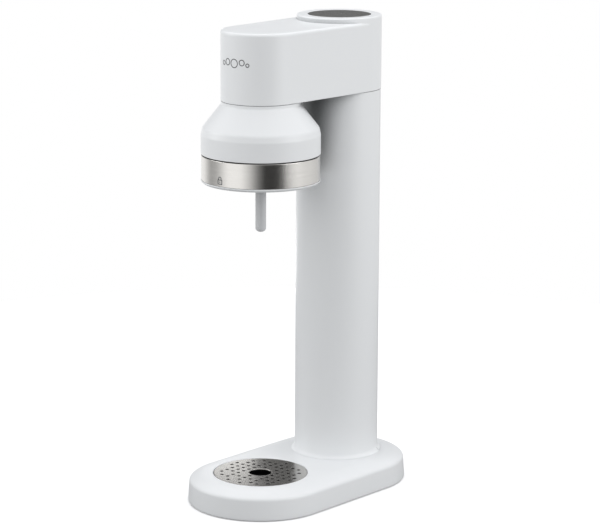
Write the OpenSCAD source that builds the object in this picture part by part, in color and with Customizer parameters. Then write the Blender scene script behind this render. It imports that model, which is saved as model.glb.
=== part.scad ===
// Soda carbonator: long round-ended foot, round column with the gas bottle inside,
// head with a push button on top and a bell with a turning lock ring over the bottle bay.
// Millimetres. +Z up, front of the machine towards -Y, origin at the centre of the footprint
// on the table.

/* [Overall] */
// height of the button's top over the table
total_h = 430; // [410:5:450]
// radius of both ends of the foot
base_r = 65; // [62:0.5:70]
// distance from the middle to each end's centre
base_half = 51; // [48:1:56]
// height of the foot's top
base_h = 25.8; // [24:0.2:30]

/* [Column] */
// distance of the column's axis behind the middle
column_y = 53; // [50:1:56]
// radius of the column where it meets the head
column_r = 37.9; // [37.5:0.1:38.1]
// how much wider the column is at its foot
column_draft = 0.4; // [0:0.1:0.8]
// radius of the fillet round the column's foot
foot_fillet = 4; // [2:0.5:5]
// angle each side of the front that the fixed column shell covers
column_cover = 117; // [112:1:122]
// wall of the column shell and of the rear cover
column_wall = 1.9; // [1.6:0.1:2.1]

/* [Head] */
// height of the head's underside
head_z = 363.6; // [350:0.2:370]
// radius of the head's front end
head_r = 35.1; // [33:0.1:37]
// wall of the head
head_wall = 2.4; // [2:0.1:3]
// height of the collar round the button over the head's top
collar_h = 4.5; // [3:0.5:6]

/* [Bell and lock ring] */
// distance of the bell's axis in front of the middle
bell_y = 51; // [48:1:54]
// radius of the bell's skirt
bell_r = 52.5; // [50:0.5:54]
// height of the bell's lower rim
bell_rim = 316.9; // [312:0.1:320]
// radius of the steel band
band_r = 52.2; // [50:0.1:53]
// height of the steel band's lower edge
band_z = 294.1; // [290:0.1:297]
// turn that opens the jaws
lock_turn = 60; // [40:5:70]
// travel of each jaw over that turn
jaw_travel = 4.2; // [3:0.1:5]

/* [Nozzle and drip tray] */
// height of the nozzle's tip
nozzle_tip = 246.8; // [230:1:260]
// radius of the nozzle
nozzle_r = 4.75; // [4:0.05:5]
// radius of the drip grid
grid_r = 42.1; // [40:0.1:43]
// spacing of the drip holes
hole_pitch = 7; // [6:0.5:8]
// radius of a drip hole
hole_r = 1.65; // [1:0.05:2]
// radius of the hole in the middle of the grid
grid_centre_r = 10; // [6:0.5:12]

/* [Button] */
// radius of the steel button
button_r = 28; // [26:0.5:28]
// travel of the button
button_travel = 4; // [3:0.5:4.5]

/* [Gas bottle] */
// radius of the gas bottle
bottle_r = 30; // [29:0.5:30]
// height of the gas bottle's underside
bottle_z = 18; // [17.5:0.5:20]

/* [Hidden] */
$fn = 96;
white = "#eef1f3";
off_white = "#d9dde0";
steel = "#b9b6b0";
dark = "#33373a";
brass = "#c9a24a";
collar_z = total_h - collar_h;
head_r2 = column_r + 0.2;
head_len = column_y + bell_y;
head_tilt = asin((head_r2 - head_r) / head_len);
head_side = sqrt(head_len * head_len - (head_r2 - head_r) * (head_r2 - head_r));
foot_r = column_r + column_draft;
wall_in = column_r - column_wall;
lip_z = band_z - 2.8;
jaw_z = 299.5;
jaw_h = 8.1;
jaw_nose = 17.8;
pin_ring_r = 30;
well_r = grid_r + 0.4;
cup_r = well_r - 0.35;
grid_z = base_h - 1.6;
sleeve_screw_ring = 33;
screw_spots = [[54, -40], [-54, -40], [54, 35], [-54, 35], [0, -105.5], [0, 106]];
foot_spots = [[36, -88], [-36, -88], [36, 88], [-36, 88]];
// a row of bubbles on the front of the head: angle from the front, height and radius of each
bubbles = [[-21.5, 398.7, 2.2], [-11.5, 400, 3.1], [1.5, 399.3, 4], [14.5, 400.3, 2.8],
  [23.2, 398.3, 1.8]];
// drip holes row by row from the front, as steps to either side of the middle line
hole_rows = [[1], [0, 2, 3], [0, 1, 2, 4], [0, 2, 3, 4], [2, 3, 4], [2, 3, 4, 5], [2, 3, 4, 5],
  [1, 2, 3, 4], [0, 1, 2, 4], [0, 1, 2, 3], [0]];

// ---------- helpers ----------

module at_bell() {
  translate([0, -bell_y, 0]) children();
}

module at_column() {
  translate([0, column_y, 0]) children();
}

module ring(r_out, r_in, z0, z1) {
  translate([0, 0, z0]) difference() {
    cylinder(r = r_out, h = z1 - z0);
    translate([0, 0, -1]) cylinder(r = r_in, h = z1 - z0 + 2);
  }
}

module rod(r, z0, z1) {
  translate([0, 0, z0]) cylinder(r = r, h = z1 - z0);
}

// a round-ended body along Y: pts is its half section as [distance from the middle line, z]
module long_round(pts) {
  translate([0, base_half, 0]) rotate_extrude(angle = 180) polygon(pts);
  translate([0, -base_half, 0]) rotate([0, 0, 180]) rotate_extrude(angle = 180) polygon(pts);
  for (s = [0, 1]) mirror([s, 0, 0]) translate([0, base_half, 0]) rotate([90, 0, 0])
    linear_extrude(height = 2 * base_half) polygon(pts);
}

// a solid in the head's outline, narrower at the front: pts is its section as [inset, z], and an
// inset of "mid" or more is the middle line. The sides lie a hair inside the tangent planes.
module tapered_solid(pts) {
  mid = 99;
  hair = 0.02;
  at_column() rotate_extrude() polygon([for (p = pts) [p[0] >= mid ? 0 : head_r2 - p[0], p[1]]]);
  at_bell() rotate_extrude() polygon([for (p = pts) [p[0] >= mid ? 0 : head_r - p[0], p[1]]]);
  for (s = [0, 1]) mirror([s, 0, 0]) at_column() rotate([0, 0, -head_tilt]) rotate([90, 0, 0])
    linear_extrude(height = head_side)
      polygon([for (p = pts) [p[0] >= mid ? 0 : head_r2 - p[0] - hair, p[1]]]);
}

// one arc of wall about the z axis, centred on direction dir, spread degrees each side
module arc_wall(pts, dir, spread) {
  rotate([0, 0, dir - spread]) rotate_extrude(angle = 2 * spread) polygon(pts);
}

// a pan-head screw pointing up, head at the bottom
module screw_up(head_r, head_h, shank_r, len) {
  difference() {
    union() {
      cylinder(r = head_r, h = head_h);
      translate([0, 0, head_h - 0.1]) cylinder(r = shank_r, h = len + 0.1);
    }
    for (a = [0, 90]) rotate([0, 0, a]) translate([-head_r * 0.6, -0.35, -1])
      cube([head_r * 1.2, 0.7, 1 + head_h * 0.5]);
  }
}

module screw_down(head_r, head_h, shank_r, len) {
  mirror([0, 0, 1]) screw_up(head_r, head_h, shank_r, len);
}

// round wire wound about the z axis
module coil(mean_r, wire_r, height, turns, steps) {
  pitch = height / turns;
  half = wire_r * 360 / pitch;
  n = 8;
  outer = [for (i = [0:n]) let (t = -1 + 2 * i / n, w = wire_r * sqrt(1 - t * t))
    [(mean_r + w) * cos(half * t), (mean_r + w) * sin(half * t)]];
  inner = [for (i = [1:n - 1]) let (t = 1 - 2 * i / n, w = wire_r * sqrt(1 - t * t))
    [(mean_r - w) * cos(half * t), (mean_r - w) * sin(half * t)]];
  linear_extrude(height = height, twist = -360 * turns, slices = steps * turns, $fn = 12)
    polygon(concat(outer, inner));
}

// ---------- foot ----------

module base_shell() {
  color(white) difference() {
    union() {
      difference() {
        long_round([[base_r - 2.6, 0.6], [base_r - 0.4, 0.6], [base_r, 1.1], [base_r - 1, 18.2],
          [base_r - 1.3, 19.6], [base_r - 2.1, 20.7], [base_r - 3.3, 21.4],
          [base_r - 12, 24.2], [base_r - 21, base_h], [0, base_h], [0, base_h - 2.4],
          [base_r - 22, base_h - 2.4], [base_r - 12.6, 21.8], [base_r - 4.4, 19.2],
          [base_r - 3.4, 17.8]]);
        at_bell() rod(well_r + 1, 4, 40);
      }
      at_bell() ring(well_r + 2.2, well_r, 5, base_h);
      at_bell() rod(well_r + 1, 5, 6.9);
      for (p = screw_spots) translate([p[0], p[1], 4.1]) cylinder(r = 3.8, h = 17.8);
    }
    at_column() rod(36, 0, 40);
    for (p = screw_spots) translate([p[0], p[1], 0]) cylinder(r = 1.55, h = 14);
  }
}

module base_plate() {
  r = base_r - 2.9;
  color(off_white) difference() {
    long_round([[0, 1.5], [r, 1.5], [r, 4], [0, 4]]);
    for (p = screw_spots) translate([p[0], p[1], 0]) cylinder(r = 1.7, h = 9);
    for (p = screw_spots) translate([p[0], p[1], 0]) cylinder(r = 3.3, h = 2.9);
    for (p = foot_spots) translate([p[0], p[1], 0]) cylinder(r = 7.2, h = 2);
    for (a = [45:90:359]) at_column() rotate([0, 0, a]) translate([39, 0, 0])
      cylinder(r = 1.7, h = 9);
    for (a = [45:90:359]) at_column() rotate([0, 0, a]) translate([39, 0, 0])
      cylinder(r = 3.3, h = 2.9);
  }
}

module rubber_feet() {
  color(dark) for (p = foot_spots) translate([p[0], p[1], 0]) union() {
    cylinder(r1 = 6.4, r2 = 7, h = 0.8);
    translate([0, 0, 0.8]) cylinder(r = 7, h = 1.2);
  }
}

module base_screws() {
  color(steel) for (p = screw_spots) translate([p[0], p[1], 1.7]) screw_up(3, 1.2, 1.45, 9);
}

module frame_foot_screws() {
  color(steel) for (a = [45:90:359]) at_column() rotate([0, 0, a]) translate([39, 0, 1.7])
    screw_up(3, 1.2, 1.45, 4);
}

// ---------- column ----------

module spine_frame() {
  color(steel) at_column() difference() {
    union() {
      rod(44, 4.1, 7);
      arc_wall([[31.5, 6], [34.5, 6], [34.5, 361], [31.5, 361]], -90, 100);
      ring(34.8, 15.5, 360.5, head_z - 0.3);
    }
    for (a = [45:90:359]) rotate([0, 0, a]) translate([39, 0, 0]) cylinder(r = 1.55, h = 20);
    for (a = [45:90:359]) rotate([0, 0, a]) translate([26, 0, 350]) cylinder(r = 1.7, h = 30);
  }
}

// section of the column's wall with the fillet at its foot
function column_section(low, top) = concat([[wall_in, low],
  [foot_r + foot_fillet * (1 - cos(75)), low]],
  [for (a = [75:-15:0]) [foot_r + foot_fillet * (1 - cos(a)), low + foot_fillet * (1 - sin(a))]],
  [[column_r, top], [wall_in, top]]);

module column_shell() {
  color(white) at_column() arc_wall(column_section(base_h + 0.1, head_z - 0.3), -90,
    column_cover);
}

module rear_cover() {
  color(white) at_column() difference() {
    union() {
      arc_wall(column_section(base_h + 0.5, head_z - 0.4), 90, 180 - column_cover - 0.5);
      // snap tongues that reach in beside the frame
      for (s = [-1, 1]) for (z = [70, 190, 310]) translate([s * 30.3 - 0.8, 10, z])
        cube([1.6, 10.2, 14]);
    }
    // finger grip under the upper edge
    translate([0, 54.5, 338]) cylinder(r = 18, h = 12);
  }
}

// ---------- head ----------

module head_shell() {
  w = head_wall;
  t = collar_z;
  color(white) difference() {
    union() {
      tapered_solid([[99, head_z - 3], [0, head_z - 3], [0, t - 2.5], [0.35, t - 1.3], [1.2, t - 0.35],
        [2.5, t], [99, t]]);
      at_column() rotate_extrude() polygon([[0, t - 4], [head_r2 + 0.02, t - 4],
        [head_r2 + 0.02, total_h - 1.5], [head_r2 - 0.3, total_h - 0.5],
        [head_r2 - 1.3, total_h], [0, total_h]]);
    }
    difference() {
      tapered_solid([[99, head_z - 6], [w, head_z - 6], [w, t - w - 1.2], [w + 1.2, t - w],
        [99, t - w]]);
      for (s = [-1, 1]) translate([s * 22, 0, head_z + 2.7]) cylinder(r = 3.8, h = t - head_z);
    }
    translate([-60, -130, head_z - 20]) cube([120, 260, 20]);
    at_column() rod(head_r2 - w - 0.05, t - w - 0.3, total_h - w);
    at_column() rod(button_r + 0.35, t - 10, total_h + 1);
    for (s = [-1, 1]) translate([s * 22, 0, head_z]) cylinder(r = 1.5, h = 20);
    for (a = [30:120:359]) at_column() rotate([0, 0, a]) translate([sleeve_screw_ring, 0, 420])
      cylinder(r = 1.15, h = total_h - 421.2);
  }
}

module head_base_plate() {
  w = head_wall + 0.15;
  color(off_white) difference() {
    tapered_solid([[99, head_z], [w, head_z], [w, head_z + 2.5], [99, head_z + 2.5]]);
    at_column() rod(15.5, 360, 370);
    at_bell() rod(16, 360, 370);
    for (a = [45:90:359]) at_column() rotate([0, 0, a]) translate([26, 0, 360])
      cylinder(r = 1.7, h = 10);
    for (a = [30:120:359]) at_bell() rotate([0, 0, a]) translate([25, 0, 360])
      cylinder(r = 1.7, h = 10);
    for (s = [-1, 1]) translate([s * 22, 0, 360]) cylinder(r = 1.7, h = 10);
    for (s = [-1, 1]) translate([s * 22, 0, 360]) cylinder(r = 3.1, h = head_z + 1.3 - 360);
  }
}

module head_screws() {
  color(steel) for (s = [-1, 1]) translate([s * 22, 0, head_z + 0.1]) screw_up(2.8, 1.1, 1.4, 15);
}

module bubble_mark() {
  color(dark) at_bell() intersection() {
    difference() {
      rod(head_r + 0.12, 380, 410);
      rod(head_r + 0.02, 379, 411);
    }
    for (b = bubbles) rotate([0, 0, b[0]]) translate([0, 0, b[1]]) rotate([90, 0, 0])
      linear_extrude(height = 60) difference() {
        circle(r = b[2]);
        circle(r = b[2] - 0.7);
      }
  }
}

// ---------- bell and nozzle ----------

module bell() {
  t = head_z - 0.3;
  color(white) at_bell() difference() {
    union() {
      rotate_extrude() polygon([[16, t], [head_r, t], [head_r, 360.4], [bell_r - 2.1, 340.8],
        [bell_r - 0.9, 338.6], [bell_r - 0.25, 336.6], [bell_r, 334.4], [bell_r, bell_rim],
        [bell_r - 2.5, bell_rim], [bell_r - 2.5, 335.4], [bell_r - 3.9, 339],
        [head_r - 2, 358.6], [head_r - 2, t - 2.1], [16, t - 2.1]]);
      for (a = [90:120:359]) rotate([0, 0, a]) translate([26.5, 0, 329.9])
        cylinder(r = 3.8, h = 32);
    }
    for (a = [90:120:359]) rotate([0, 0, a]) translate([26.5, 0, 320]) cylinder(r = 1.5, h = 26);
    for (a = [30:120:359]) rotate([0, 0, a]) translate([25, 0, 350]) cylinder(r = 1.5, h = 26);
  }
}

module bell_screws() {
  color(steel) at_bell() for (a = [30:120:359]) rotate([0, 0, a])
    translate([25, 0, head_z + 2.5 + 1.6]) screw_down(2.8, 1.5, 1.4, 4.6);
}

module nozzle_holder() {
  color(off_white) at_bell() difference() {
    union() {
      rod(20.8, 319.4, 326);
      rod(31, 325.2, 329.8);
      rod(13, 329, 350);
      rod(2, 349, 358);
    }
    rod(nozzle_r + 0.09, 310, 343);
    rod(6.75, 322, 324);
    rod(1, 340, 360);
    translate([19, 0, 310]) cylinder(r = 1.2, h = 30);
    for (a = [90:120:359]) rotate([0, 0, a]) translate([26.5, 0, 310]) cylinder(r = 1.7, h = 30);
  }
}

module mechanism_screws() {
  color(steel) at_bell() for (a = [90:120:359]) rotate([0, 0, a]) translate([26.5, 0, 323.6])
    screw_up(2.6, 1.5, 1.4, 14);
}

module jaw_cage() {
  color(off_white) at_bell() difference() {
    union() {
      ring(23.6, 21.3, 299.2, 325.1);
      ring(28, 22, 311.4, 313.2);
    }
    for (a = [-90, 30, 150]) rotate([0, 0, a]) translate([10, -6.2, 298]) cube([20, 12.4, 9.9]);
  }
}

module guard_plate() {
  color(off_white) at_bell() ring(45.9, 21.3, 297, 299.1);
}

module bottle_seal() {
  color(dark) at_bell() difference() {
    rod(19, 316.4, 319.3);
    rod(7, 316, 320);
    ring(16, 11, 316, 317.2);
  }
}

module carbonating_nozzle() {
  t = nozzle_tip;
  r = nozzle_r;
  color(off_white) at_bell() rotate_extrude() polygon([[0.8, t], [2.2, t], [3.5, t + 0.7],
    [4.4, t + 1.9], [r, t + 3.6], [r, 342.5], [2, 342.5], [2, t + 5], [0.8, t + 3.6]]);
}

module nozzle_o_ring() {
  color(dark) at_bell() translate([0, 0, 323]) rotate_extrude() translate([5.78, 0])
    circle(r = 0.9, $fn = 32);
}

module relief_valve_body() {
  color(brass) at_bell() translate([19, 0, 0]) difference() {
    rod(5, 329.9, 346);
    rod(1.2, 329, 340);
    rod(3.6, 333, 347);
  }
}

module relief_poppet() {
  color(steel) at_bell() translate([19, 0, 0]) union() {
    rod(3.54, 333.05, 336);
    rod(1.6, 335.5, 338);
  }
}

module relief_spring() {
  color(steel) at_bell() translate([19, 0, 336.05]) coil(2.6, 0.4, 6.9, 4, 20);
}

module relief_cap() {
  color(brass) at_bell() translate([19, 0, 0]) difference() {
    union() {
      rod(3.5, 343, 346.5);
      translate([0, 0, 346.1]) cylinder(r = 5.4, h = 2.4, $fn = 6);
    }
    rod(1, 342, 350);
  }
}

// ---------- gas hose ----------

module hose_path(r) {
  at_bell() rod(r, 350.1, 372);
  translate([0, 12 - bell_y, 372]) rotate([0, 0, 180]) rotate([90, 0, 90])
    rotate_extrude(angle = 90) translate([12, 0]) circle(r = r);
  translate([0, 12 - bell_y, 384]) rotate([-90, 0, 0]) cylinder(r = r, h = bell_y - 12 + 41.8);
}

module gas_hose() {
  color(dark) difference() {
    hose_path(3.2);
    hose_path(2.08);
    at_bell() rod(2.08, 349, 352);
    translate([0, 40, 384]) rotate([-90, 0, 0]) cylinder(r = 2.08, h = 3);
  }
}

module hose_ferrules() {
  color(brass) union() {
    at_bell() ring(4.1, 3.25, 351, 357);
    translate([0, 34.5, 384]) rotate([-90, 0, 0]) ring(4.1, 3.25, 0, 6);
  }
}

// ---------- lock ring ----------

module cam_slot(a0) {
  k = jaw_travel / lock_turn;
  c = 2.25;
  out = [for (t = [0:4:lock_turn]) [(pin_ring_r + k * t + c) * cos(a0 - t),
    (pin_ring_r + k * t + c) * sin(a0 - t)]];
  back = [for (t = [0:4:lock_turn]) let (u = lock_turn - t)
    [(pin_ring_r + k * u - c) * cos(a0 - u), (pin_ring_r + k * u - c) * sin(a0 - u)]];
  translate([0, 0, 306]) linear_extrude(height = 8) polygon(concat(out, back));
  rotate([0, 0, a0]) translate([pin_ring_r, 0, 306]) cylinder(r = c + 0.06, h = 8);
  rotate([0, 0, a0 - lock_turn]) translate([pin_ring_r + jaw_travel, 0, 306])
    cylinder(r = c + 0.06, h = 8);
}

module ring_carrier() {
  z = band_z;
  r = band_r - 0.85;
  color(white) at_bell() difference() {
    rotate_extrude() polygon([[46.5, lip_z], [band_r - 2.1, lip_z], [band_r - 0.7, lip_z + 0.5],
      [band_r + 0.1, lip_z + 1.4], [band_r + 0.3, z - 0.1], [r, z - 0.1], [r, 315.6],
      [48.8, 315.6], [48.8, 311], [24.2, 311], [24.2, 308], [48.8, 308], [48.8, 301.2],
      [43.8, 301.2], [43.8, 299.4], [46.5, 299.4]]);
    for (a = [-90, 30, 150]) cam_slot(a);
  }
}

module steel_ring_band() {
  color(steel) at_bell() ring(band_r, band_r - 0.8, band_z, 315.9);
}

module arch(r) {
  translate([-r, 1.2]) square([2 * r, 1]);
  translate([0, 2.2]) circle(r = r);
}

module padlock_mark() {
  color(dark) at_bell() intersection() {
    difference() {
      rod(band_r + 0.12, 290, 320);
      rod(band_r + 0.02, 289, 321);
    }
    translate([0, 0, 299]) rotate([90, 0, 0]) linear_extrude(height = 60) {
      difference() {
        translate([-2.6, -3]) square([5.2, 4.3]);
        translate([-1.9, -2.3]) square([3.8, 2.9]);
      }
      difference() {
        arch(1.75);
        arch(1.05);
      }
      translate([0, -0.9]) circle(r = 0.5);
    }
  }
}

module jaw(a) {
  at_bell() rotate([0, 0, a]) difference() {
    union() {
      difference() {
        translate([jaw_nose - 1, -6.1, jaw_z]) cube([35 - jaw_nose + 1, 12.2, jaw_h]);
        rod(20.4, jaw_z - 1, jaw_z + 2);
        rod(20.4, jaw_z + 5.4, jaw_z + 9);
        rod(jaw_nose, jaw_z - 1, jaw_z + 9);
      }
      translate([pin_ring_r, 0, jaw_z + jaw_h - 0.5]) cylinder(r = 2, h = 3.9);
    }
    translate([26, -3.4, jaw_z - 1]) cube([6, 6.8, 4]);
  }
}

module jaw_front() {
  color(dark) jaw(-90);
}

module jaw_right() {
  color(dark) jaw(30);
}

module jaw_left() {
  color(dark) jaw(150);
}

// ---------- drip tray ----------

module drip_cup() {
  z = grid_z - 0.05;
  color(dark) at_bell() rotate_extrude() polygon([[0, 7.3], [cup_r - 1.5, 7.3], [cup_r, 8.8],
    [cup_r, z], [cup_r - 2, z], [cup_r - 2, 10.2], [cup_r - 3.4, 8.9], [0, 8.9]]);
}

module drip_grid() {
  color(steel) at_bell() difference() {
    rod(grid_r, grid_z, grid_z + 1.2);
    ring(grid_r - 1, grid_centre_r + 1, grid_z - 1, grid_z + 0.6);
    rod(grid_centre_r, 20, 30);
    for (j = [0:10]) for (i = hole_rows[j]) for (s = i == 0 ? [1] : [-1, 1])
      translate([s * i * hole_pitch, (j - 5) * hole_pitch, 20]) cylinder(r = hole_r, h = 10);
  }
}

// ---------- valve block and button ----------

module valve_block() {
  color(brass) difference() {
    union() {
      at_column() rod(15, 361, 376);
      at_column() rod(31, head_z + 2.6, 370);
      at_column() rod(11, 375, 394);
      translate([0, 34, 384]) rotate([-90, 0, 0]) cylinder(r = 2, h = 12);
    }
    at_column() rod(10.5, 360, 373.2);
    at_column() rod(3.2, 372, 387.2);
    at_column() rod(2.08, 386, 395);
    at_column() rod(4.3, 387.5, 390);
    translate([0, 33, 384]) rotate([-90, 0, 0]) cylinder(r = 1, h = 18);
    for (a = [45:90:359]) at_column() rotate([0, 0, a]) translate([26, 0, 360])
      cylinder(r = 1.7, h = 20);
  }
}

module valve_block_screws() {
  color(steel) at_column() for (a = [45:90:359]) rotate([0, 0, a]) translate([26, 0, 372.2])
    screw_down(3, 2.1, 1.5, 11);
}

module pin_seal() {
  color(dark) at_column() translate([0, 0, 388.7]) rotate_extrude() translate([3.15, 0])
    circle(r = 1.02, $fn = 32);
}

module socket_seal() {
  color(dark) at_column() ring(10.4, 4, 371.2, 373.1);
}

module button_sleeve() {
  color(off_white) at_column() difference() {
    rotate_extrude() polygon([[button_r + 1.1, 404], [button_r + 3, 404], [button_r + 3, 424],
      [35.2, 424], [35.2, 427.5], [button_r + 0.35, 427.5], [button_r + 0.35, 424],
      [button_r + 1.1, 424]]);
    for (a = [30:120:359]) rotate([0, 0, a]) translate([sleeve_screw_ring, 0, 420])
      cylinder(r = 1.3, h = 9);
  }
}

module button_sleeve_screws() {
  color(steel) at_column() for (a = [30:120:359]) rotate([0, 0, a])
    translate([sleeve_screw_ring, 0, 422.4]) screw_up(1.9, 1.5, 1, 4.2);
}

module button_cap() {
  t = total_h;
  r = button_r;
  color(steel) at_column() difference() {
    rotate_extrude() polygon([[0, t], [r - 0.5, t], [r, t - 0.5], [r, t - 6], [r - 1, t - 6],
      [r - 1, t - 1.05], [0, t - 1.05]]);
    for (d = [[-3.2, -1, 1], [1, 1.6, 1.4], [4.2, -1.6, 0.8]]) translate([d[0], d[1], t - 0.25])
      cylinder(r = d[2], h = 2);
  }
}

module button_plunger() {
  t = total_h;
  r = button_r + 1;
  color(off_white) at_column() rotate_extrude() polygon([[2.03, 402], [7, 402], [7, 421],
    [r - 2, 421], [r - 2, 406], [r, 406], [r, t - 6.2], [button_r - 1.05, t - 6.2],
    [button_r - 1.05, t - 1.1], [0, t - 1.1], [0, 424.1], [2.03, 424.1]]);
}

module press_pin() {
  color(steel) at_column() rod(2, 370.85, 424);
}

module button_spring() {
  color(steel) at_column() translate([0, 0, 394.05]) coil(9.4, 0.9, 26.9, 6, 22);
}

// ---------- gas bottle ----------

module gas_bottle() {
  z = bottle_z;
  r = bottle_r;
  w = 3.2;
  color(steel) at_column() rotate_extrude() polygon([[0, z], [r - 9, z], [r - 4, z + 1.3],
    [r - 1, z + 4.2], [r, z + 8], [r, 292], [r - 0.8, 301], [r - 3, 310], [r - 6.4, 318],
    [r - 11, 325], [15, 330], [13.2, 333], [13.2, 337], [10.4, 337], [10.4, 329], [14, 325],
    [r - 13.6, 321], [r - 9.2, 315], [r - w - 2.8, 308], [r - w - 0.7, 300], [r - w, 292],
    [r - w, z + 9], [r - 7, z + 4.4], [0, z + 4]]);
}

module gas_bottle_valve() {
  color(brass) at_column() difference() {
    union() {
      rod(10.3, 327, 338);
      translate([0, 0, 337.1]) cylinder(r = 15, h = 8, $fn = 6);
      rod(11.5, 344, 356);
      rod(10.42, 355, 371);
    }
    rod(1.5, 326, 372);
    rod(3, 365.5, 372);
    translate([5, 0, 350]) rotate([0, 90, 0]) cylinder(r = 2.3, h = 12);
  }
}

module burst_plug() {
  color(steel) at_column() translate([0, 0, 350]) rotate([0, 90, 0]) union() {
    translate([0, 0, 6]) cylinder(r = 2.2, h = 6);
    translate([0, 0, 11.6]) cylinder(r = 3.6, h = 2.6, $fn = 6);
  }
}

module valve_pin() {
  color(steel) at_column() rod(1.42, 350, 370.5);
}

base_shell();
base_plate();
rubber_feet();
base_screws();
frame_foot_screws();
spine_frame();
column_shell();
rear_cover();
head_shell();
head_base_plate();
head_screws();
bubble_mark();
bell();
bell_screws();
nozzle_holder();
mechanism_screws();
jaw_cage();
guard_plate();
bottle_seal();
carbonating_nozzle();
nozzle_o_ring();
relief_valve_body();
relief_poppet();
relief_spring();
relief_cap();
gas_hose();
hose_ferrules();
ring_carrier();
steel_ring_band();
padlock_mark();
jaw_front();
jaw_right();
jaw_left();
drip_cup();
drip_grid();
valve_block();
valve_block_screws();
pin_seal();
socket_seal();
button_sleeve();
button_sleeve_screws();
button_cap();
button_plunger();
press_pin();
button_spring();
gas_bottle();
gas_bottle_valve();
burst_plug();
valve_pin();
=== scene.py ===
import math

import bmesh
import bpy
from mathutils import Matrix, Vector
from mathutils.geometry import tessellate_polygon


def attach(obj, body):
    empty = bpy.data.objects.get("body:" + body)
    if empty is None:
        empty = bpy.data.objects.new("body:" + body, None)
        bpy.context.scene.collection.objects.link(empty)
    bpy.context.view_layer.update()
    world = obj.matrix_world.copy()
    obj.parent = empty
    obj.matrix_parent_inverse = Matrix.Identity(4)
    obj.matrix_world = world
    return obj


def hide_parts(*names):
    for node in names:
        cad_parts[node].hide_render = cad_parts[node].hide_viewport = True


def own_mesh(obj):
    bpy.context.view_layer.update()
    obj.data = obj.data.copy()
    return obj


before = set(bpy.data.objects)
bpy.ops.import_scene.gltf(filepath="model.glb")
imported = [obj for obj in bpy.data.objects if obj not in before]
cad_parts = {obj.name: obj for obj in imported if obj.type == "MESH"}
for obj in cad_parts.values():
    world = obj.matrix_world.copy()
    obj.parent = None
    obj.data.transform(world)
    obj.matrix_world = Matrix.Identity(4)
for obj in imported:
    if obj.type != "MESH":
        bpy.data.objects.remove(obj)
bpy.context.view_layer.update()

# Soda carbonator. Lengths are millimetres in the model's own frame, and MM turns them into
# metres when a mesh is made. The constants repeat the model's sizes: heights over the table, radii
# and places along Y, where the bell is in front and the column behind.

MM = 0.001
FULL = 2 * math.pi

BELL_Y = -51.0
COLUMN_Y = 53.0
BASE_R = 65.0
BASE_HALF = 51.0
BASE_TOP = 25.8
HEAD_Z = 363.6
HEAD_R = 35.1
HEAD_R2 = 38.1
HEAD_TOP = 425.5
TOTAL_H = 430.0
WALL = 2.4  # of the head
COLUMN_R = 37.9
FOOT_R = 38.3
COLUMN_IN = 36.0
COLUMN_TOP = HEAD_Z - 0.3
COVER_ANGLE = 117.0
BELL_R = 52.5
BELL_RIM = 316.9
BAND_R = 52.2
BAND_Z = 294.1
BAND_TOP = 315.9
LIP_Z = 291.3
FOOT_FILLET = 4.0
WELL_R = 42.5
CUP_R = 42.15
GRID_R = 42.1
GRID_Z = 24.2
GRID_TOP = 25.4
FINGER_R = 10.0
HOLE_PITCH = 7.0
HOLE_R = 1.65
NOZZLE_R = 4.75
NOZZLE_TIP = 246.8
BUTTON_R = 28.0
PADLOCK_Z = 299.0
MARK_LIFT = 0.12
BOTTLE_R = 30.0
BOTTLE_Z = 18.0
FLOOR_R = 800.0
FLOOR_BOUNCE = 0.3
TOP_LIGHT = 1.0
SIDE_LIGHT = 0.85
GAP_DEPTH = 0.86


# ---------- shader kit ----------


class Val:
    """A shader socket that turns arithmetic into Math nodes."""

    def __init__(self, kit, socket):
        self.kit = kit
        self.socket = socket

    def _math(self, operation, a, b=0.0):
        return self.kit.node("ShaderNodeMath", {"operation": operation}, {0: a, 1: b})

    def __add__(self, other):
        return self._math("ADD", self, other)

    def __radd__(self, other):
        return self._math("ADD", other, self)

    def __sub__(self, other):
        return self._math("SUBTRACT", self, other)

    def __rsub__(self, other):
        return self._math("SUBTRACT", other, self)

    def __mul__(self, other):
        return self._math("MULTIPLY", self, other)

    def __rmul__(self, other):
        return self._math("MULTIPLY", other, self)

    def __truediv__(self, other):
        return self._math("DIVIDE", self, other)

    def size(self):
        return self._math("ABSOLUTE", self)

    def root(self):
        return self._math("SQRT", self)


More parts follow.
